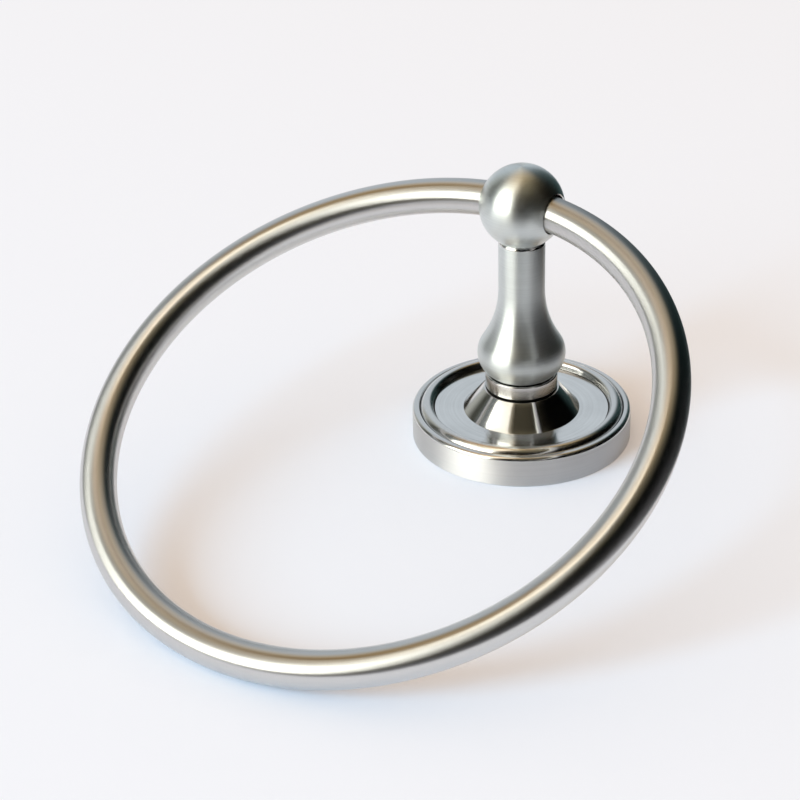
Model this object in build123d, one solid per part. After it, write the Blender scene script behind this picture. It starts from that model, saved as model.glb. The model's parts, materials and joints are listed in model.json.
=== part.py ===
from build123d import *

import os
from math import asin, atan2, cos, degrees, radians, sin, sqrt, tan

# A wall-mounted towel ring in satin nickel, in millimetres.
# The origin is the centre of the base's back face, on the wall. +Z runs out of the wall along the post.
# The ring turns about an axis along X through the ball, and lies swung over to the -Y side,
# with the far side of the ring resting on the plane of the wall.

# Base flange, outside
base_diameter = 57.0
wall_height = 8.3  # back rim to the flat land on top of the shoulder
rim_chamfer = 0.3
shoulder_radius = 1.05
land_width = 0.7
groove_width = 0.3
groove_depth = 0.6
bead_rise = 1.1  # bead's flat crown above the land
bead_crown = 1.65
bead_outer_round = 1.1
bead_inner_round = 0.6
bead_inner_slope = 75.0  # degrees of the bead's face towards the dish
dish_depth = 0.65  # dish below the land, at the foot of the cone
dish_fall = 0.7  # how far the dish slopes down from there to the bead
cone_run = 5.35  # how far the cone spreads from its top to its foot
cone_height = 6.15

# Base flange, inside
base_wall = 2.2
dish_wall = 1.55  # metal under the lowest part of the dish
cone_wall = 2.0
seat_web = 3.2  # metal between the post's seat and the head of its screw

# Post
collar_diameter = 18.7
collar_height = 3.85
collar_bevel = 0.25
ledge_width = 0.4  # rim of the cone that shows outside the collar
shadow_gap = 0.45  # open line between the cone and the collar
spigot_inset = 0.5
spigot_depth = 0.6
spigot_clearance = 0.1
belly_diameter = 22.8
belly_arc = 6.8
belly_foot_angle = 58.5  # degrees below the widest point where the belly meets the collar
flare_height = 18.1  # widest point of the belly up to the straight neck
neck_diameter = 11.9
neck_length = 13.95  # up to where the ball would meet the full neck
neck_edge = 0.9  # round on the neck's top edge, under the ball
neck_edge_sweep = 55.0  # degrees of that round
ball_diameter = 21.6

# Ring
ring_outside_diameter = 150.0
rod_diameter = 9.0
rod_end_gap = 6.0  # between the two ends of the rod, inside the ball
ring_lift = 0.35  # the ring's circle passes this far beyond the hinge axis
socket_clearance = 0.5
socket_web = 4.4  # metal left between the two sockets
socket_edge = 0.3

# Screw that holds the post on the base
screw_diameter = 5.0
screw_length = 16.0
screw_head_diameter = 9.5
screw_head_height = 3.7
screw_head_edge = 1.2
screw_tip_chamfer = 0.6
cross_width = 1.3
cross_span = 5.2
cross_depth = 2.2
screw_hole_clearance = 0.25
thread_gap = 0.05
tap_runout = 2.0

# Split washer under the head of that screw
washer_diameter = 9.0
washer_thickness = 1.2
washer_bore_clearance = 0.15
washer_slit = 0.7

# Wall bracket
bracket_width = 14.0
bracket_thickness = 1.5
bracket_clearance = 0.3
bracket_flare = 15.0  # degrees that the end tabs lean outwards
bracket_bend = 0.6
bracket_hole_spacing = 22.0
bracket_hole_diameter = 4.6
tab_corner = 2.0
tab_headroom = 0.3

# Set screw that holds the base on the bracket
set_screw_diameter = 4.0
set_screw_height = 3.0
set_screw_recess = 0.4
set_screw_tip_chamfer = 0.7
set_screw_hex = 2.0
set_screw_hex_depth = 1.5
set_screw_contact = 0.05

# Radii
base_r = base_diameter / 2
collar_r = collar_diameter / 2
belly_r = belly_diameter / 2
neck_r = neck_diameter / 2
ball_r = ball_diameter / 2
rod_r = rod_diameter / 2
ring_r = ring_outside_diameter / 2 - rod_r
screw_r = screw_diameter / 2
set_screw_r = set_screw_diameter / 2
spigot_r = collar_r - spigot_inset
spigot_seat_r = spigot_r + spigot_clearance
socket_r = rod_r + socket_clearance

# Base, worked inwards from its outside
land_r = base_r - shoulder_radius
groove_outer_r = land_r - land_width
groove_r = groove_outer_r - groove_width
crown_z = wall_height + bead_rise
crown_outer_r = groove_r - bead_outer_round
crown_inner_r = crown_outer_r - bead_crown
dish_z = wall_height - dish_depth
dish_edge_z = dish_z - dish_fall
bead_face_r = crown_inner_r - bead_inner_round * sin(radians(bead_inner_slope))
bead_face_z = crown_z - bead_inner_round * (1 - cos(radians(bead_inner_slope)))
dish_r = bead_face_r - (bead_face_z - dish_edge_z) / tan(radians(bead_inner_slope))
cone_top_r = collar_r + ledge_width
cone_foot_r = cone_top_r + cone_run
cone_top_z = dish_z + cone_height
seat_z = cone_top_z - spigot_depth
boss_z = seat_z - seat_web
ceiling_z = dish_edge_z - dish_wall
inner_r = base_r - base_wall

# Post, worked upwards from the base
collar_z = cone_top_z + shadow_gap
collar_top_z = collar_z + collar_height
belly_z = collar_top_z + belly_arc * sin(radians(belly_foot_angle))
neck_z = belly_z + flare_height
ball_z = neck_z + neck_length + sqrt(ball_r**2 - neck_r**2)
crease_r = neck_r - neck_edge * (1 - cos(radians(neck_edge_sweep)))
crease_z = ball_z - sqrt(ball_r**2 - crease_r**2)
neck_top_z = crease_z - neck_edge * sin(radians(neck_edge_sweep))

# Ring: it leans until the far side of the rod touches the plane z = 0
ring_reach = 2 * ring_r - ring_lift
ring_lean = degrees(asin((ball_z - rod_r) / ring_reach))

# Bracket: its tab corners stand just inside the base's wall
tab_z = ceiling_z - tab_headroom
tab_y = sqrt((inner_r - bracket_clearance) ** 2 - (bracket_width / 2) ** 2)


def turned(outline):
    """Solid turned about Z from a closed outline of lines and arcs, drawn as radius and height."""
    return revolve(Plane.XZ * make_face(outline), Axis.Z)


def disc(radius, low, high):
    """Upright cylinder between two heights."""
    return Pos(0, 0, low) * Cylinder(radius, high - low, align=(Align.CENTER, Align.CENTER, Align.MIN))


def cone_radius(height):
    """Radius of the cone's outside, or of the line that runs on from it, at a height."""
    return cone_foot_r - cone_run * (height - dish_z) / cone_height


def base_outline():
    """Section of the flange: wall, shoulder, groove, bead, dish, cone, seat and hollow back."""
    shoulder = CenterArc((land_r, wall_height - shoulder_radius), shoulder_radius, 0, 90)
    outer_round = CenterArc((crown_outer_r, crown_z - bead_outer_round), bead_outer_round, 0, 90)
    inner_round = CenterArc((crown_inner_r, crown_z - bead_inner_round), bead_inner_round, 90, bead_inner_slope)
    inner_step = cone_wall / sin(atan2(cone_height, cone_run))
    hole_r = screw_r + screw_hole_clearance
    wall = Polyline((inner_r, 0), (base_r - rim_chamfer, 0), (base_r, rim_chamfer), shoulder @ 0)
    groove = Polyline(
        shoulder @ 1,
        (groove_outer_r, wall_height),
        (groove_r, wall_height - groove_depth),
        outer_round @ 0,
    )
    crown = Line(outer_round @ 1, inner_round @ 0)
    middle = Polyline(
        inner_round @ 1,
        (dish_r, dish_edge_z),
        (cone_foot_r, dish_z),
        (cone_top_r, cone_top_z),
        (spigot_seat_r, cone_top_z),
        (spigot_seat_r, seat_z),
        (hole_r, seat_z),
        (hole_r, boss_z),
        (cone_radius(boss_z) - inner_step, boss_z),
        (cone_radius(ceiling_z) - inner_step, ceiling_z),
        (inner_r, ceiling_z),
        (inner_r, 0),
    )
    return [wall, shoulder, groove, outer_round, crown, inner_round, middle]


def along_y(solid, height):
    """Turn a solid that stands on Z so that it runs out along +Y at a height."""
    return Pos(0, 0, height) * Rot(-90, 0, 0) * solid


def base_flange():
    hole = along_y(disc(set_screw_r + thread_gap, 0, base_diameter), set_screw_height)
    return turned(base_outline()) - hole


def post_outline():
    """Section of the post: spigot, collar, belly, flare, straight neck and ball."""
    belly_center_r = belly_r - belly_arc
    lean = belly_center_r - neck_r
    flare_arc = (flare_height**2 + lean**2 - belly_arc**2) / (2 * (belly_r - neck_r))
    flare_center_r = neck_r + flare_arc
    turn = degrees(atan2(flare_height, flare_center_r - belly_center_r))
    crease_angle = degrees(atan2(crease_z - ball_z, crease_r))
    belly = CenterArc((belly_center_r, belly_z), belly_arc, -belly_foot_angle, belly_foot_angle + turn)
    flare = CenterArc((flare_center_r, neck_z), flare_arc, 180 + turn, -turn)
    ball = CenterArc((0, ball_z), ball_r, crease_angle, 90 - crease_angle)
    foot = Polyline(
        (0, seat_z),
        (spigot_r, seat_z),
        (spigot_r, collar_z),
        (collar_r - collar_bevel, collar_z),
        (collar_r, collar_z + collar_bevel),
        (collar_r, collar_top_z - collar_bevel),
        (collar_r - collar_bevel, collar_top_z),
        belly @ 0,
    )
    neck_round = CenterArc((neck_r - neck_edge, neck_top_z), neck_edge, 0, neck_edge_sweep)
    neck = Line(flare @ 1, neck_round @ 0)
    axis = Line(ball @ 1, (0, seat_z))
    return [foot, belly, flare, neck, neck_round, ball, axis]


def ring_socket():
    """Blind hole in the ball for one end of the ring, with a broken edge at its mouth."""
    mouth = sqrt(ball_r**2 - socket_r**2)
    outline = Polyline(
        (0, socket_web / 2),
        (socket_r, socket_web / 2),
        (socket_r, mouth - socket_edge),
        (socket_r + 2 * socket_edge, mouth + socket_edge),
        (socket_r + 2 * socket_edge, ball_r + rod_r),
        (0, ball_r + rod_r),
        (0, socket_web / 2),
    )
    return Pos(0, 0, ball_z) * Rot(0, 90, 0) * turned([outline])


def post():
    tap_depth = boss_z - washer_thickness + screw_length + tap_runout
    tapped_hole = disc(screw_r + thread_gap, 0, tap_depth)
    socket = ring_socket()
    return turned(post_outline()) - tapped_hole - socket - mirror(socket, Plane.YZ)


def towel_ring():
    """Open ring of round rod whose two ends sit in the ball's sockets."""
    end_angle = degrees(asin(rod_end_gap / 2 / ring_r))
    hoop = Rot(0, 0, 90 + end_angle) * Torus(ring_r, rod_r, major_angle=360 - 2 * end_angle)
    top_at_hinge = Pos(0, ring_lift - ring_r, 0) * hoop
    return Pos(0, 0, ball_z) * Rot(ring_lean, 0, 0) * top_at_hinge


def post_screw():
    """Pan-head screw with a cross recess, driven from the hollow back into the post."""
    head_top = boss_z - washer_thickness
    head_low = head_top - screw_head_height
    head = disc(screw_head_diameter / 2, head_low, head_top)
    head = fillet(head.edges().group_by(Axis.Z)[0], screw_head_edge)
    shank = disc(screw_r, head_top, head_top + screw_length)
    shank = chamfer(shank.edges().group_by(Axis.Z)[-1], screw_tip_chamfer)
    recess_align = (Align.CENTER, Align.CENTER, Align.MIN)
    slot = Pos(0, 0, head_low) * Box(cross_span, cross_width, cross_depth, align=recess_align)
    return head + shank - slot - Rot(0, 0, 90) * slot


def lock_washer():
    ring = disc(washer_diameter / 2, boss_z - washer_thickness, boss_z)
    ring -= disc(screw_r + washer_bore_clearance, 0, boss_z)
    slit = Pos(washer_diameter / 2, 0, boss_z) * Box(washer_diameter, washer_slit, 3 * washer_thickness)
    return ring - slit


def tab_face(height):
    """Distance from the middle of the bracket to the outside of its leaning tab at a height."""
    return tab_y - (tab_z - height) * tan(radians(bracket_flare))


def bracket_section():
    """Section of the bracket along its length: a flat strip with two tabs that lean outwards."""
    lean = bracket_thickness / cos(radians(bracket_flare))
    floor = bracket_thickness
    half = [
        (tab_face(0), 0),
        (tab_face(tab_z), tab_z),
        (tab_face(tab_z) - lean, tab_z),
        (tab_face(floor) - lean, floor),
    ]
    other = [(-y, z) for y, z in reversed(half)]
    return make_face(Polyline(*half, *other, half[0]))


def wall_bracket():
    strip = extrude(Plane.YZ * bracket_section(), bracket_width / 2, both=True)
    bends = strip.edges().filter_by(Axis.X).filter_by_position(Axis.Z, 0, bracket_thickness)
    strip = fillet(bends, bracket_bend)
    tops = strip.faces().group_by(Axis.Z)[-1].edges()
    corners = [e for e in strip.edges() if corner_of_tab(e, tops)]
    strip = fillet(corners, tab_corner)
    for side in (-1, 1):
        hole = Pos(0, side * bracket_hole_spacing / 2, 0) * disc(bracket_hole_diameter / 2, 0, bracket_thickness)
        strip -= hole
    return strip


def corner_of_tab(edge, tops):
    """True for the short edges across the tab's thickness at its two top corners."""
    across_thickness = abs(edge.length - bracket_thickness / cos(radians(bracket_flare))) < 0.01
    return across_thickness and edge in tops


def set_screw():
    """Headless screw with a hexagon socket, whose tip bears on the bracket's tab."""
    tip_r = set_screw_r - set_screw_tip_chamfer
    tip = tab_face(set_screw_height + tip_r) + set_screw_contact
    end = base_r - set_screw_recess
    body = disc(set_screw_r, tip, end)
    body = chamfer(body.edges().group_by(Axis.Z)[0], set_screw_tip_chamfer)
    hexagon = RegularPolygon(set_screw_hex / 2, 6, major_radius=False)
    socket = extrude(Pos(0, 0, end) * hexagon, -set_screw_hex_depth)
    return along_y(body - socket, set_screw_height)


pieces = {
    "base_flange": base_flange,
    "post": post,
    "towel_ring": towel_ring,
    "post_screw": post_screw,
    "lock_washer": lock_washer,
    "wall_bracket": wall_bracket,
    "set_screw": set_screw,
}

os.makedirs("parts", exist_ok=True)
for node, make in pieces.items():
    export_step(make(), f"parts/{node}.step")
print(f"hinge height {ball_z:.3f} mm, ring lean {ring_lean:.3f} degrees, ring reach {ring_reach:.2f} mm")
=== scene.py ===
import json
from math import asin, atan2, ceil, cos, degrees, dist, pi, radians, sin, sqrt, tan

import bpy
from mathutils import Matrix, Vector


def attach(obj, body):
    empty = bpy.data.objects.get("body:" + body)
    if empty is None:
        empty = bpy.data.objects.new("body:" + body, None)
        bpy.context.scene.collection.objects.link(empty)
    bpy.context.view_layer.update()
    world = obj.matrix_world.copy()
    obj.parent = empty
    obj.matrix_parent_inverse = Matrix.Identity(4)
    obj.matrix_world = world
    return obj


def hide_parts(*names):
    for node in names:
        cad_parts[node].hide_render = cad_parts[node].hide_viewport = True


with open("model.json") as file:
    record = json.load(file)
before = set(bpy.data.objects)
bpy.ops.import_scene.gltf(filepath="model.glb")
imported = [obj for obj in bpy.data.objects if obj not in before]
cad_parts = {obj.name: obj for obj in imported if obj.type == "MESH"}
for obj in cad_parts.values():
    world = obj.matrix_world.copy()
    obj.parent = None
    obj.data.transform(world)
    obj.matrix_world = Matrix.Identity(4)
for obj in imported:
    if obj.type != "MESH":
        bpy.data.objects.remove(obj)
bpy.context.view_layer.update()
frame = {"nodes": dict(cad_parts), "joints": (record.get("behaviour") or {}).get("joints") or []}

MM = 0.001
MICRON = 0.000001

# Base flange, in millimetres
base_r = 28.5
wall_height = 8.3  # back rim to the flat land on top of the shoulder
rim_chamfer = 0.3
shoulder_radius = 1.05
brushed_sweep = 8.0  # degrees of the shoulder that the wall's brushing reaches
land_width = 0.7
groove_width = 0.3
groove_depth = 0.6
bead_rise = 1.1  # bead's crown above the land
bead_width = 2.17
bead_roll = 2.1  # radius of the bead's outer side, which rolls over more softly than on the solid
bead_inner_round = 1.2
bead_foot_sweep = 8.0  # degrees of the bead's foot in the groove that get painted shade
bead_inner_slope = 75.0  # degrees of the bead's face towards the dish
dish_depth = 0.65  # dish below the land
dish_line = 0.3  # width of the painted shade line where the dish meets the bead
cone_run = 5.35  # how far the cone spreads from its top to its foot
cone_height = 6.15
base_wall = 2.2
dish_wall = 2.25
cone_wall = 2.0
seat_web = 3.2  # metal between the post's seat and the head of its screw
screw_hole_r = 2.75
set_screw_hole_r = 2.05
set_screw_height = 3.0

# Post, in millimetres
collar_r = 9.35
collar_height = 3.85
collar_bevel = 0.25
ledge_width = 0.4  # rim of the cone that shows outside the collar
shadow_gap = 0.45  # open line between the cone and the collar
spigot_inset = 0.5
spigot_depth = 0.6
spigot_clearance = 0.1
belly_r = 11.4
belly_arc = 6.8
belly_foot_angle = 58.5  # degrees below the widest point where the belly meets the collar
belly_foot_sweep = 5.0  # degrees of the belly's foot above the collar that get painted shade
flare_height = 18.1  # widest point of the belly up to the straight neck
neck_r = 5.95
neck_edge = 0.9  # round on the neck's top edge, under the ball
neck_edge_sweep = 55.0  # degrees of that round
ball_r = 10.8
tapped_hole_r = 2.55
tapped_hole_z = 26.8

# Ring, in millimetres
rod_r = 4.5
ring_r = 70.5
ring_lift = 0.35  # the ring's circle passes this far beyond the hinge axis
rod_end_gap = 6.0  # between the two ends of the rod, inside the ball
rod_end_edge = 0.4
socket_clearance = 0.5
socket_web = 4.4  # metal left between the two sockets
socket_edge = 0.3

# Worked out from these, as on the solids apart from the softer bead and the level dish
hinge_z = frame["joints"][0]["pos_m"][2] / MM
ring_lean = asin((hinge_z - rod_r) / (2 * ring_r - ring_lift))
land_r = base_r - shoulder_radius
groove_outer_r = land_r - land_width
groove_r = groove_outer_r - groove_width
crown_z = wall_height + bead_rise
roll_start = degrees(asin(1 - (bead_rise + groove_depth) / bead_roll))
crown_outer_r = groove_r - bead_roll * cos(radians(roll_start))
crown_inner_r = groove_r - bead_width
dish_z = wall_height - dish_depth
bead_face_r = crown_inner_r - bead_inner_round * sin(radians(bead_inner_slope))
bead_face_z = crown_z - bead_inner_round * (1 - cos(radians(bead_inner_slope)))
dish_r = bead_face_r - (bead_face_z - dish_z) / tan(radians(bead_inner_slope))
cone_top_r = collar_r + ledge_width
cone_foot_r = cone_top_r + cone_run
cone_top_z = dish_z + cone_height
spigot_r = collar_r - spigot_inset
seat_z = cone_top_z - spigot_depth
boss_z = seat_z - seat_web
ceiling_z = dish_z - dish_wall
inner_r = base_r - base_wall
collar_z = cone_top_z + shadow_gap
collar_top_z = collar_z + collar_height
belly_z = collar_top_z + belly_arc * sin(radians(belly_foot_angle))
neck_z = belly_z + flare_height
socket_r = rod_r + socket_clearance

# Mesh fineness
TURN_STEPS = 256  # round a turned piece
HOLE_STEPS = 48
SOCKET_STEPS = 96
RING_STEPS = 360  # along the rod
ROD_STEPS = 64  # round the rod
SHELL_STEPS = (48, 12)  # round the room, and up it
ARC_STEP = 4.0  # degrees of an outline arc to each facet
BASE_FACET = 1.5  # mm, the longest facet up the base's outline
POST_FACET = 1.2  # and up the post's
EDGE_ROUND = 0.12  # mm, the small round that a plated edge has
EDGE_STEPS = 4
EDGE_SHARE = 0.4  # the most of a side that an edge's round may take
CORNER_ANGLE = 14.0  # degrees; outline turns sharper than this are edges
SHARP_ANGLE = 32.0  # degrees; mesh edges sharper than this stay crisp
ON_AXIS = 0.000001  # mm; outline points nearer than this lie on the axis
MAP_NAME = "UVMap"

# Finishes, each between a darker and a lighter tone
NICKEL_TONES = ((0.65, 0.645, 0.635), (0.76, 0.755, 0.745))
POST_TONES = ((0.55, 0.58, 0.575), (0.835, 0.88, 0.875))
WALL_TONES = ((0.72, 0.715, 0.71), (0.92, 0.915, 0.91))
DISH_TONES = ((0.57, 0.57, 0.565), (0.93, 0.93, 0.92))
CAST_TONES = ((0.40, 0.39, 0.37), (0.5, 0.49, 0.47))
ZINC_TONES = ((0.60, 0.61, 0.63), (0.72, 0.73, 0.74))
# Painted shade: near-black tones that stand in for the shade in gaps, grooves and creases
PAINTED_SHADE_TONES = ((0.02, 0.02, 0.02), (0.05, 0.05, 0.048))
OXIDE_TONES = ((0.03, 0.03, 0.032), (0.07, 0.07, 0.075))
GRAIN_DETAIL = 3
CLOUD_SCALE = 90  # clouds to a metre, as for the mottle
CLOUD_DETAIL = 4
MOTTLE_SCALE = 400
MOTTLE_DETAIL = 6
MOTTLE_DEPTH = 20 * MICRON
MOTTLE_SPREAD = 0.08  # how far the mottle moves the roughness either way
ACROSS = 0.25  # a quarter turn: the sheen spreads across the map's first direction
ALONG = 0.0
MIX_SHARE, MIX_BEFORE, MIX_AFTER, MIX_RESULT = 0, 6, 7, 2  # places of the sockets on a colour mix

# Camera, at the photograph's view
VIEW_AZIMUTH = 35.79
VIEW_ELEVATION = 29.12
VIEW_ROLL = -1.455
VIEW_AIM = Vector((-28.27, -14.98, 7.87)) * MM
VIEW_DISTANCE = 633.05 * MM
LENS = 108.27  # mm, on the frame below
SENSOR_WIDTH = 36.0

# Stage, in metres: pale floor, one soft window light, and a pale room with a warm ceiling and a dark end
FLOOR_COLOR = (0.953, 0.938, 0.955)
FLOOR_ROUGHNESS = 0.9
FLOOR_REACH = 6.0
TABLE_RIGHT = 0.08  # where the table that the metal shows ends
TABLE_NEAR = 0.19
TABLE_LIFT = 0.0001  # keeps the floor from shading it
PALE = (0.88, 0.92, 0.98)
WARM_FILL = (0.815, 0.70, 0.59)
WINDOW_BEARING = -55.0  # degrees to the right of the camera
WINDOW_ELEVATION = 28.0
WINDOW_DISTANCE = 5.0
WINDOW_SIZE = (2.6, 2.6)
DAYLIGHT = (0.376, 0.695, 1.0)  # what the window sends to the floor
DAYLIGHT_POWER = 216.0
PANE_BEARINGS = (-85, -36)
PANE_ELEVATIONS = (3, 58)
PANE_GLOW = (4.4, 4.4, 4.0)  # how the window shows in the metal
PANE_TOP = (1.4, 1.33, 1.15)
PANE_SHARE = (0.64, 0.74)  # how far up the glow turns to the top's
ROOM_RADIUS = 7.0
ROOM_BEARINGS = (-180, 180)
ROOM_ELEVATIONS = (-35, 90)
UPPER_ELEVATIONS = (44, 80)  # where the walls turn to the ceiling
FAR_WALL = (0.62, 0.675, 0.725)
LEFT_BACK = (0.47, 0.48, 0.44)
LEFT_SHADE = (0.066, 0.068, 0.055)
BESIDE_PANE = (0.21, 0.23, 0.225)
NEAR_BROWN = (0.34, 0.30, 0.22)
DARK = (0.001, 0.001, 0.001)
RIGHT_BACK = (0.035, 0.065, 0.065)
TAN_LIT = (1.0, 0.75, 0.40)
TAN = (0.60, 0.36, 0.14)
CREAM = (1.2, 1.03, 0.77)
CREAM_LIT = (2.9, 2.45, 1.87)
OLIVE = (0.23, 0.20, 0.13)

# Colours of the room, by degrees to the right of the camera
ROOM_WALLS = (
    (-180, FAR_WALL), (-155, FAR_WALL), (-138, LEFT_BACK), (-118, LEFT_SHADE), (-98, BESIDE_PANE),
    (-36, NEAR_BROWN), (-22, DARK), (116, DARK), (150, RIGHT_BACK), (172, FAR_WALL), (180, FAR_WALL),
)
ROOM_TOP = (
    (-180, TAN_LIT), (-150, TAN), (-118, TAN), (-75, CREAM), (-48, CREAM_LIT), (-28, OLIVE),
    (60, OLIVE), (110, DARK), (140, TAN_LIT), (160, TAN), (180, TAN_LIT),
)


# Outlines: lists of (radius, height, zone), where zone names the finish from that point on

def arc(center, radius, start, sweep, zone):
    """Points of an arc; angles in degrees from the outward direction, turning towards +Z."""
    steps = max(2, ceil(abs(sweep) / ARC_STEP))
    angles = [radians(start + sweep * i / steps) for i in range(steps + 1)]
    return [(center[0] + radius * cos(a), center[1] + radius * sin(a), zone) for a in angles]


def line(zone, *points):
    """Points of a run of straight lines."""
    return [(r, z, zone) for r, z in points]


def evened(points, longest):
    """The outline with its long straight runs divided, so that facets stay near square."""
    made = []
    for (r0, z0, zone), (r1, z1, _) in zip(points, points[1:]):
        parts = max(1, ceil(dist((r0, z0), (r1, z1)) / longest))
        for i in range(parts):
            t = i / parts
            made.append((r0 + (r1 - r0) * t, z0 + (z1 - z0) * t, zone))
    return made + [points[-1]]


def rounded(points, closed):
    """The outline with every edge broken by a small round."""
    count = len(points)
    made = []
    for i, (r, z, zone) in enumerate(points):
        if not closed and i in (0, count - 1):
            made.append((r, z, zone))
            continue
        before, after = points[i - 1], points[(i + 1) % count]
        back, ahead = Vector((before[0] - r, before[1] - z)), Vector((after[0] - r, after[1] - z))
        turn = pi - back.angle(ahead)
        if degrees(turn) < CORNER_ANGLE:
            made.append((r, z, zone))
            continue
        cut = min(EDGE_ROUND * tan(turn / 2), EDGE_SHARE * back.length, EDGE_SHARE * ahead.length)
        first, last = back.normalized() * cut, ahead.normalized() * cut
        for k in range(EDGE_STEPS + 1):
            t = k / EDGE_STEPS
            offset = first * (1 - t) ** 2 + last * t**2
            made.append((r + offset.x, z + offset.y, before[2] if t < 0.5 else zone))
    return made


def shoulder_outline():
    """Round shoulder of the base's wall, brushed at its start and polished above."""
    center = (land_r, wall_height - shoulder_radius)
    brushed = arc(center, shoulder_radius, 0, brushed_sweep, "satin")
    return brushed[:-1] + arc(center, shoulder_radius, brushed_sweep, 90 - brushed_sweep, "polished")


def bead_outline():
    """Bead, from its foot in the groove, painted with shade, over its crown to its face towards the dish."""
    outer_center = (crown_outer_r, crown_z - bead_roll)
    inner_center = (crown_inner_r, crown_z - bead_inner_round)
    foot_end = roll_start + bead_foot_sweep
    # painted shade on the bead's foot in the groove
    foot = arc(outer_center, bead_roll, roll_start, bead_foot_sweep, "crevice")
    outer_round = arc(outer_center, bead_roll, foot_end, 90 - foot_end, "polished")
    inner_round = arc(inner_center, bead_inner_round, 90, bead_inner_slope, "polished")
    return foot[:-1] + outer_round + inner_round


def back_outline():
    """Seat of the post, screw hole and hollow back, from the inside of the ledge downwards."""
    step = cone_wall / sin(atan2(cone_height, cone_run))
    slope = cone_run / cone_height
    seat_r = spigot_r + spigot_clearance
    boss_r = cone_foot_r - slope * (boss_z - dish_z) - step
    hollow_r = cone_foot_r - slope * (ceiling_z - dish_z) - step
    return (
        # painted shade on the ledge and seat inside the gap under the collar
        line("crevice", (cone_top_r - ledge_width, cone_top_z), (seat_r, cone_top_z), (seat_r, seat_z))
        + line("inside", (screw_hole_r, seat_z), (screw_hole_r, boss_z))
        + line("inside", (boss_r, boss_z), (hollow_r, ceiling_z), (inner_r, ceiling_z))
    )


def base_outline():
    """Section of the base, from the inside of its back rim round the outside and back."""
    return (
        line("inside", (inner_r, 0))
        + line("satin", (base_r - rim_chamfer, 0), (base_r, rim_chamfer))
        + shoulder_outline()
        + line("polished", (groove_outer_r, wall_height))
        + bead_outline()
        # painted shade: a near-black line where the dish meets the bead
        + line("crevice", (dish_r, dish_z))
        + line("dish", (dish_r - dish_line, dish_z))
        + line("cone", (cone_foot_r, dish_z), (cone_top_r, cone_top_z))
        + back_outline()
    )


def belly_outline():
    """Belly, from its foot, painted with shade, up to where its flare becomes the straight neck."""
    center_r = belly_r - belly_arc
    lean = center_r - neck_r
    flare_arc = (flare_height**2 + lean**2 - belly_arc**2) / (2 * (belly_r - neck_r))
    turn = degrees(atan2(flare_height, neck_r + flare_arc - center_r))
    start = belly_foot_sweep - belly_foot_angle
    # painted shade on the belly's foot above the collar
    foot = arc((center_r, belly_z), belly_arc, -belly_foot_angle, belly_foot_sweep, "crevice")
    belly = arc((center_r, belly_z), belly_arc, start, turn - start, "neck")
    flare = arc((neck_r + flare_arc, neck_z), flare_arc, 180 + turn, -turn, "neck")
    return foot[:-1] + belly + flare[1:]


def ball_outline():
    """Round top edge of the neck, the crease above it and the ball."""
    crease_r = neck_r - neck_edge * (1 - cos(radians(neck_edge_sweep)))
    crease_z = hinge_z - sqrt(ball_r**2 - crease_r**2)
    crease_angle = degrees(atan2(crease_z - hinge_z, crease_r))
    edge_z = crease_z - neck_edge * sin(radians(neck_edge_sweep))
    edge = arc((neck_r - neck_edge, edge_z), neck_edge, 0, neck_edge_sweep, "edge")
    return edge[:-1] + arc((0, hinge_z), ball_r, crease_angle, 90 - crease_angle, "ball")


def post_outline():
    """Section of the post, from the bottom of its tapped hole round to the top of the ball."""
    bevel_r = collar_r - collar_bevel
    return (
        line("inside", (0, tapped_hole_z), (tapped_hole_r, tapped_hole_z), (tapped_hole_r, seat_z))
        # painted shade on the spigot inside the gap under the collar
        + line("crevice", (spigot_r, seat_z), (spigot_r, collar_z))
        + line("collar", (bevel_r, collar_z), (collar_r, collar_z + collar_bevel))
        + line("collar", (collar_r, collar_top_z - collar_bevel), (bevel_r, collar_top_z))
        + belly_outline()
        + ball_outline()
    )


# Meshes

def placed(name, data):
    """New object in the scene, from a mesh, a lamp or a camera."""
    made = bpy.data.objects.new(name, data)
    bpy.context.scene.collection.objects.link(made)
    return made


def map_corners(mesh, uvs):
    """Give a mesh its map, by one point for each corner of its faces."""
    layer = mesh.uv_layers.new(name=MAP_NAME)
    layer.data.foreach_set("uv", [value for corner in uvs for value in corner])


def new_piece(name, points, faces, materials, zones, uvs):
    """Object from points in mm and faces, with each face's finish by name and each corner's map point."""
    mesh = bpy.data.meshes.new(name)
    mesh.from_pydata([Vector(p) * MM for p in points], [], faces)
    names = list(materials)
    for zone in names:
        mesh.materials.append(materials[zone])
    mesh.polygons.foreach_set("material_index", [names.index(zone) for zone in zones])
    map_corners(mesh, uvs)
    mesh.validate()
    return placed(name, mesh)


def smooth(piece):
    """Shade a piece smooth between its crisp edges."""
    piece.data.shade_smooth()
    piece.data.set_sharp_from_angle(angle=radians(SHARP_ANGLE))


def turned(name, outline, closed, materials, steps=TURN_STEPS):
    """Piece turned about Z from an outline. Its map runs once round, and up the outline in mm."""
    points, rows = [], []
    for r, z, _ in outline:
        first = len(points)
        if r < ON_AXIS:
            rows.append([first] * (steps + 1))
            points.append((0, 0, z))
        else:
            rows.append([first + j % steps for j in range(steps + 1)])
            points += [(r * cos(2 * pi * j / steps), r * sin(2 * pi * j / steps), z) for j in range(steps)]
    if closed:
        outline = outline + outline[:1]
        rows.append(rows[0])
    faces, zones, uvs = [], [], []
    v1 = 0.0
    for low, high, here, after in zip(rows, rows[1:], outline, outline[1:]):
        v0, v1 = v1, v1 + dist(here[:2], after[:2])
        for j in range(steps):
            corners = [(low[j], j, v0), (low[j + 1], j + 1, v0), (high[j + 1], j + 1, v1), (high[j], j, v1)]
            if high[j] == high[j + 1]:
                corners.pop()
            elif low[j] == low[j + 1]:
                corners.pop(1)
            faces.append([point for point, _, _ in corners])
            uvs += [(step / steps, v) for _, step, v in corners]
            zones.append(here[2])
    return new_piece(name, points, faces, materials, zones, uvs)


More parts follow.
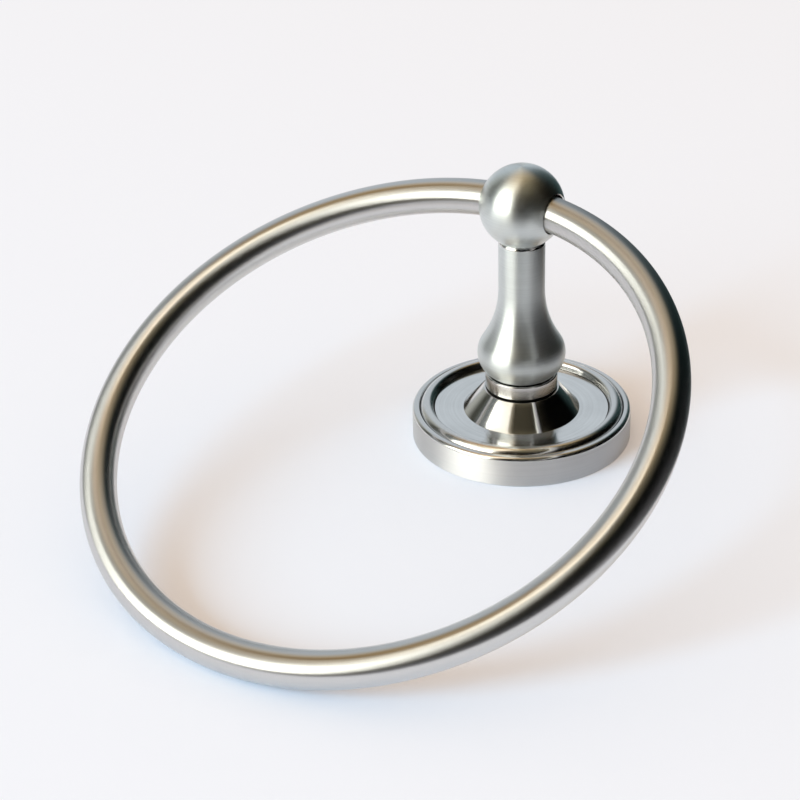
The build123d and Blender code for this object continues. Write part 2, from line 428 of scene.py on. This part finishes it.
def cut_away(piece, cutters):
    """Cut solids out of a piece and drop the cutters."""
    for cutter in cutters:
        cut = piece.modifiers.new("cut", "BOOLEAN")
        cut.object = cutter
        cut.operation = "DIFFERENCE"
        cut.solver = "EXACT"
    bpy.context.view_layer.update()
    graph = bpy.context.evaluated_depsgraph_get()
    result = bpy.data.meshes.new_from_object(piece.evaluated_get(graph))
    result.name = piece.data.name
    piece.modifiers.clear()
    piece.data = result
    for cutter in cutters:
        bpy.data.objects.remove(cutter)


def base_piece(materials):
    """The base, with the hole of its set screw on the +Y side."""
    outline = evened(rounded(base_outline(), True), BASE_FACET)
    piece = turned("base_flange_finish", outline, True, materials)
    reach = 2 * base_r
    bore = line("inside", (0, 0), (set_screw_hole_r, 0), (set_screw_hole_r, reach), (0, reach))
    hole = turned("set_screw_hole", bore, False, {"inside": materials["inside"]}, HOLE_STEPS)
    hole.matrix_world = Matrix.Translation((0, 0, set_screw_height * MM)) @ Matrix.Rotation(-pi / 2, 4, "X")
    cut_away(piece, [hole])
    smooth(piece)
    return piece


def socket_cutter(side, materials):
    """Blind hole for one end of the rod, wider at its mouth where the edge is broken."""
    mouth = sqrt(ball_r**2 - socket_r**2)
    lip_r = socket_r + 2 * socket_edge
    floor_z, top_z = socket_web / 2, ball_r + rod_r
    outline = line("socket", (0, floor_z), (socket_r, floor_z), (socket_r, mouth - socket_edge))
    outline += line("socket", (lip_r, mouth + socket_edge), (lip_r, top_z), (0, top_z))
    cutter = turned("socket_cutter", outline, False, {"socket": materials["socket"]}, SOCKET_STEPS)
    cutter.matrix_world = Matrix.Translation((0, 0, hinge_z * MM)) @ Matrix.Rotation(side * pi / 2, 4, "Y")
    return cutter


def post_piece(materials):
    """The post, with a socket on each side of its ball."""
    outline = evened(rounded(post_outline(), False), POST_FACET)
    piece = turned("post_finish", outline, False, materials)
    cut_away(piece, [socket_cutter(side, materials) for side in (-1, 1)])
    smooth(piece)
    return piece


def rod_stations():
    """Turn round the ring and radius of the rod at each station, from one end of the rod to the other."""
    start = asin(rod_end_gap / 2 / ring_r)
    edge_turn = rod_end_edge / ring_r
    span = 2 * (pi - start - edge_turn)
    full = [(start + edge_turn + span * i / RING_STEPS, rod_r) for i in range(RING_STEPS + 1)]
    end_r = rod_r - rod_end_edge
    return [(start, end_r), *full, (2 * pi - start, end_r)]


def ring_piece(materials):
    """The open ring of rod. Its map runs along the rod in mm, and once round it."""
    place = Matrix.Translation((0, 0, hinge_z)) @ Matrix.Rotation(ring_lean, 4, "X")
    place = place @ Matrix.Translation((0, ring_lift - ring_r, 0))
    stations = rod_stations()
    points, faces, uvs = [], [], []
    for turn, radius in stations:
        for k in range(ROD_STEPS):
            a = 2 * pi * k / ROD_STEPS
            out = ring_r + radius * cos(a)
            points.append(place @ Vector((out * sin(turn), out * cos(turn), radius * sin(a))))
    for i in range(len(stations) - 1):
        near, far = i * ROD_STEPS, (i + 1) * ROD_STEPS
        u0, u1 = stations[i][0] * ring_r, stations[i + 1][0] * ring_r
        for k in range(ROD_STEPS):
            after = (k + 1) % ROD_STEPS
            v0, v1 = k / ROD_STEPS, (k + 1) / ROD_STEPS
            faces.append([near + k, near + after, far + after, far + k])
            uvs += [(u0, v0), (u0, v1), (u1, v1), (u1, v0)]
    last = len(points) - ROD_STEPS
    for cap in (reversed(range(ROD_STEPS)), range(last, len(points))):
        faces.append(list(cap))
        uvs += [(0.0, k / ROD_STEPS) for k in range(ROD_STEPS)]
    piece = new_piece("towel_ring_finish", points, faces, materials, ["rod"] * len(faces), uvs)
    smooth(piece)
    return piece


# Materials

def add(tree, kind, inputs=None, **settings):
    """A node with its settings, and each input either linked or set."""
    made = tree.nodes.new(kind)
    for key, value in settings.items():
        setattr(made, key, value)
    for key, value in (inputs or {}).items():
        if isinstance(value, bpy.types.NodeSocket):
            tree.links.new(value, made.inputs[key])
        else:
            made.inputs[key].default_value = value
    return made


def new_material(name):
    """A material and its node tree, with one plain shader in it."""
    material = bpy.data.materials.new(name)
    material.use_nodes = True
    return material, material.node_tree


def noise(tree, place, scale, detail):
    """A cloudy 0 to 1 value."""
    return add(tree, "ShaderNodeTexNoise", {"Vector": place, "Scale": scale, "Detail": detail}).outputs[0]


def combined(tree, operation, one, other):
    """Two values put together by an operation."""
    return add(tree, "ShaderNodeMath", {0: one, 1: other}, operation=operation).outputs[0]


def ranged(tree, value, low, high):
    """A 0 to 1 value spread over a range."""
    return add(tree, "ShaderNodeMapRange", {"Value": value, "To Min": low, "To Max": high}).outputs["Result"]


def mixed(tree, share, before, after):
    """One colour turning to another as a share goes from 0 to 1."""
    sockets = {MIX_SHARE: share, MIX_BEFORE: before, MIX_AFTER: after}
    return add(tree, "ShaderNodeMix", sockets, data_type="RGBA").outputs[MIX_RESULT]


def plate(tree, share, tones, roughness, spread, height, depth):
    """Make a tree's shader metal. A 0 to 1 share sets its tone and roughness, and a height its relief."""
    dark, light = tones
    shader = tree.nodes["Principled BSDF"]
    shader.inputs["Metallic"].default_value = 1.0
    color = mixed(tree, share, (*dark, 1), (*light, 1))
    rough = ranged(tree, share, roughness - spread, roughness + spread)
    bump = add(tree, "ShaderNodeBump", {"Height": height, "Strength": 1.0, "Distance": depth})
    tree.links.new(color, shader.inputs["Base Color"])
    tree.links.new(rough, shader.inputs["Roughness"])
    tree.links.new(bump.outputs[0], shader.inputs["Normal"])
    return shader


def metal(name, tones, roughness, spread, lines, line_depth, anisotropy, rotation=ACROSS):
    """Plated metal with fine lines left by brushing.
    lines gives how many lines there are across each unit of the piece's map, along its two directions."""
    material, tree = new_material(name)
    place = add(tree, "ShaderNodeTexCoord")
    stretched = add(tree, "ShaderNodeMapping", {"Vector": place.outputs["UV"], "Scale": (*lines, 1)})
    grain = noise(tree, stretched.outputs[0], 1, GRAIN_DETAIL)
    cloud = noise(tree, place.outputs["Object"], CLOUD_SCALE, CLOUD_DETAIL)
    both = combined(tree, "ADD", grain, cloud)
    half = combined(tree, "MULTIPLY", both, 0.5)
    shader = plate(tree, half, tones, roughness, spread, grain, line_depth)
    shader.inputs["Anisotropic"].default_value = anisotropy
    shader.inputs["Anisotropic Rotation"].default_value = rotation
    tangent = add(tree, "ShaderNodeTangent", direction_type="UV_MAP", uv_map=MAP_NAME)
    tree.links.new(tangent.outputs[0], shader.inputs["Tangent"])
    return material


def hardware(name, tones, roughness):
    """Plain metal with a mottled coat."""
    material, tree = new_material(name)
    place = add(tree, "ShaderNodeTexCoord")
    mottle = noise(tree, place.outputs["Object"], MOTTLE_SCALE, MOTTLE_DETAIL)
    plate(tree, mottle, tones, roughness, MOTTLE_SPREAD, mottle, MOTTLE_DEPTH)
    return material


satin_ball = metal(
    "satin_nickel_ball", POST_TONES, roughness=0.35, spread=0.04,
    lines=(4, 3), line_depth=1 * MICRON, anisotropy=0.7,
)
satin_post = metal(
    "satin_nickel_post", POST_TONES, roughness=0.375, spread=0.04,
    lines=(3, 2.4), line_depth=2.5 * MICRON, anisotropy=0.82,
)
satin_wall = metal(
    "satin_nickel_wall", WALL_TONES, roughness=0.54, spread=0.05,
    lines=(3, 2.5), line_depth=3 * MICRON, anisotropy=0.86,
)
satin_rod = metal(
    "satin_nickel_rod", NICKEL_TONES, roughness=0.31, spread=0.03,
    lines=(7, 3), line_depth=0.3 * MICRON, anisotropy=1.0, rotation=ALONG,
)
polished = metal(
    "polished_nickel", NICKEL_TONES, roughness=0.19, spread=0.03,
    lines=(4, 12), line_depth=0.3 * MICRON, anisotropy=0.85,
)
mirror_cone = metal(
    "polished_nickel_cone", NICKEL_TONES, roughness=0.13, spread=0.02,
    lines=(4, 12), line_depth=0.3 * MICRON, anisotropy=0.8,
)
turned_dish = metal(
    "turned_nickel", DISH_TONES, roughness=0.13, spread=0.03,
    lines=(2, 1.6), line_depth=2 * MICRON, anisotropy=0.6,
)
cast_inside = hardware("cast_nickel", CAST_TONES, roughness=0.48)
zinc_plate = hardware("zinc_plate", ZINC_TONES, roughness=0.34)
# painted shade: near-black metal standing in for the shade in gaps, grooves and creases
crevice = hardware("painted_shade_metal", PAINTED_SHADE_TONES, roughness=0.6)
black_oxide = hardware("black_oxide", OXIDE_TONES, roughness=0.45)


def dress():
    """The three plated pieces stand for their solids, and the hidden fasteners keep theirs."""
    base_finish = {"satin": satin_wall, "polished": polished, "dish": turned_dish, "cone": mirror_cone}
    post_finish = {"ball": satin_ball, "neck": satin_post}
    post_finish |= {zone: polished for zone in ("collar", "edge", "socket")}
    # painted shade for the gaps, grooves and creases; cast metal for the hidden insides
    shared_finish = {"crevice": crevice, "inside": cast_inside}
    base = base_piece(base_finish | shared_finish)
    post = post_piece(post_finish | shared_finish)
    ring = ring_piece({"rod": satin_rod})
    dressed = ((base, "base_flange", "base"), (post, "post", "base"), (ring, "towel_ring", "ring"))
    for piece, node, body in dressed:
        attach(piece, body)
        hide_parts(node)
    fasteners = {"post_screw": zinc_plate, "lock_washer": zinc_plate, "wall_bracket": zinc_plate}
    for node, material in (fasteners | {"set_screw": black_oxide}).items():
        mesh = frame["nodes"][node].data
        mesh.materials.clear()
        mesh.materials.append(material)


# Camera and stage

def bearing(angle, elevation):
    """Direction from the object, by degrees to the right of the camera and above the floor."""
    az, el = radians(VIEW_AZIMUTH + angle), radians(elevation)
    return Vector((sin(az) * cos(el), -cos(az) * cos(el), sin(el)))


def make_camera():
    """The camera, turned about its line of sight by its roll."""
    right, back = bearing(90, 0), bearing(0, VIEW_ELEVATION)
    roll = Matrix.Rotation(radians(VIEW_ROLL), 3, back)
    turn = Matrix((roll @ right, roll @ back.cross(right), back)).transposed()
    camera = placed("camera", bpy.data.cameras.new("camera"))
    camera.data.lens = LENS
    camera.data.sensor_width = SENSOR_WIDTH
    camera.matrix_world = Matrix.Translation(VIEW_AIM + back * VIEW_DISTANCE) @ turn.to_4x4()
    bpy.context.scene.camera = camera


def stage_mesh(name, points, faces, uvs, material):
    """A piece of the stage, from points in metres."""
    mesh = bpy.data.meshes.new(name)
    mesh.from_pydata(points, [], faces)
    map_corners(mesh, uvs)
    mesh.materials.append(material)
    made = placed(name, mesh)
    return made


def only_reflected(made):
    """Let nothing but the metal show a piece of the stage."""
    made.visible_camera = False
    made.visible_diffuse = False
    made.visible_shadow = False


def flat(name, left, right, far, near, height, material):
    """A level sheet, by its reach from the object as the camera sees it."""
    across, towards, up = bearing(90, 0), bearing(0, 0), Vector((0, 0, height))
    reaches = ((left, far), (right, far), (right, near), (left, near))
    corners = [across * x + towards * y + up for x, y in reaches]
    return stage_mesh(name, corners, [(0, 3, 2, 1)], [(0, 0), (0, 1), (1, 1), (1, 0)], material)


def make_floor():
    """The floor, and the stretch of it that the metal shows as the table under the object."""
    material, tree = new_material("floor")
    shader = tree.nodes["Principled BSDF"]
    shader.inputs["Base Color"].default_value = (*FLOOR_COLOR, 1)
    shader.inputs["Roughness"].default_value = FLOOR_ROUGHNESS
    shader.inputs["Specular IOR Level"].default_value = 0.0
    floor = flat("floor", -FLOOR_REACH, FLOOR_REACH, -FLOOR_REACH, FLOOR_REACH, 0.0, material)
    floor.visible_glossy = False
    table = flat("table", -FLOOR_REACH, TABLE_RIGHT, -FLOOR_REACH, TABLE_NEAR, TABLE_LIFT, material)
    only_reflected(table)


def make_window():
    """The light of the window, which the metal shows as the pane instead."""
    light = bpy.data.lights.new("window", "AREA")
    light.shape = "RECTANGLE"
    light.size, light.size_y = WINDOW_SIZE
    light.energy = DAYLIGHT_POWER
    light.color = DAYLIGHT
    lamp = placed("window", light)
    towards = bearing(WINDOW_BEARING, WINDOW_ELEVATION)
    lamp.rotation_euler = towards.to_track_quat("Z", "Y").to_euler()
    lamp.location = towards * WINDOW_DISTANCE
    lamp.visible_glossy = False


def blended(tree, value, low, high, before, after):
    """One colour turning softly to another as a value goes from low to high."""
    spread = {"Value": value, "From Min": low, "From Max": high}
    share = add(tree, "ShaderNodeMapRange", spread, interpolation_type="SMOOTHSTEP")
    return mixed(tree, share.outputs["Result"], before, after)


def glowing(material, tree, color):
    """A surface that only shows a colour, with no light of its own on the rest."""
    material.cycles.emission_sampling = "NONE"
    glow = add(tree, "ShaderNodeEmission", {"Color": color})
    tree.links.new(glow.outputs[0], tree.nodes["Material Output"].inputs["Surface"])


def pane_material():
    """The window's glow, weaker towards its top."""
    material, tree = new_material("pane")
    place = add(tree, "ShaderNodeTexCoord")
    height = add(tree, "ShaderNodeSeparateXYZ", {0: place.outputs["UV"]}).outputs["Y"]
    glowing(material, tree, blended(tree, height, *PANE_SHARE, (*PANE_GLOW, 1), (*PANE_TOP, 1)))
    return material


def colors_round(tree, place, stops):
    """Colours that follow one another round the room."""
    ramp = add(tree, "ShaderNodeValToRGB", {0: place})
    ramp.color_ramp.interpolation = "EASE"
    elements = ramp.color_ramp.elements
    ready = len(elements)
    first, last = ROOM_BEARINGS
    for i, (angle, color) in enumerate(stops):
        at = (angle - first) / (last - first)
        stop = elements[i] if i < ready else elements.new(at)
        stop.position = at
        stop.color = (*color, 1)
    return ramp.outputs[0]


def room_material():
    """Wall colours round the room, turning to the ceiling's colours towards the top."""
    material, tree = new_material("room")
    place = add(tree, "ShaderNodeTexCoord")
    round_room = add(tree, "ShaderNodeSeparateXYZ", {0: place.outputs["UV"]}).outputs["X"]
    height = add(tree, "ShaderNodeSeparateXYZ", {0: place.outputs["Object"]}).outputs["Z"]
    low, high = (ROOM_RADIUS * sin(radians(elevation)) for elevation in UPPER_ELEVATIONS)
    walls, top = (colors_round(tree, round_room, stops) for stops in (ROOM_WALLS, ROOM_TOP))
    glowing(material, tree, blended(tree, height, low, high, walls, top))
    return material


def reflected_shell(name, bearings, elevations, radius, material):
    """A patch of a dome round the object that only its metal shows."""
    across, up = SHELL_STEPS
    points, uvs, faces = [], [], []
    for j in range(up + 1):
        for i in range(across + 1):
            angle = bearings[0] + (bearings[1] - bearings[0]) * i / across
            elevation = elevations[0] + (elevations[1] - elevations[0]) * j / up
            points.append(bearing(angle, elevation) * radius)
    for j in range(up):
        for i in range(across):
            low, high = j * (across + 1) + i, (j + 1) * (across + 1) + i
            faces.append((low, low + 1, high + 1, high))
            corners = ((i, j), (i + 1, j), (i + 1, j + 1), (i, j + 1))
            uvs += [(a / across, b / up) for a, b in corners]
    only_reflected(stage_mesh(name, points, faces, uvs, material))


def make_world():
    """Pale surroundings for the camera and the metal, and a warm fill for everything else."""
    world = bpy.data.worlds.new("surroundings")
    world.use_nodes = True
    tree = world.node_tree
    rays = add(tree, "ShaderNodeLightPath").outputs
    seen = combined(tree, "MAXIMUM", rays["Is Camera Ray"], rays["Is Glossy Ray"])
    shown = combined(tree, "MAXIMUM", seen, rays["Is Transmission Ray"])
    color = mixed(tree, shown, (*WARM_FILL, 1), (*PALE, 1))
    tree.links.new(color, tree.nodes["Background"].inputs["Color"])
    bpy.context.scene.world = world


dress()
make_camera()
make_floor()
make_window()
reflected_shell("room", ROOM_BEARINGS, ROOM_ELEVATIONS, ROOM_RADIUS, room_material())
reflected_shell("pane", PANE_BEARINGS, PANE_ELEVATIONS, WINDOW_DISTANCE, pane_material())
make_world()
bpy.context.scene.view_settings.view_transform = "Standard"
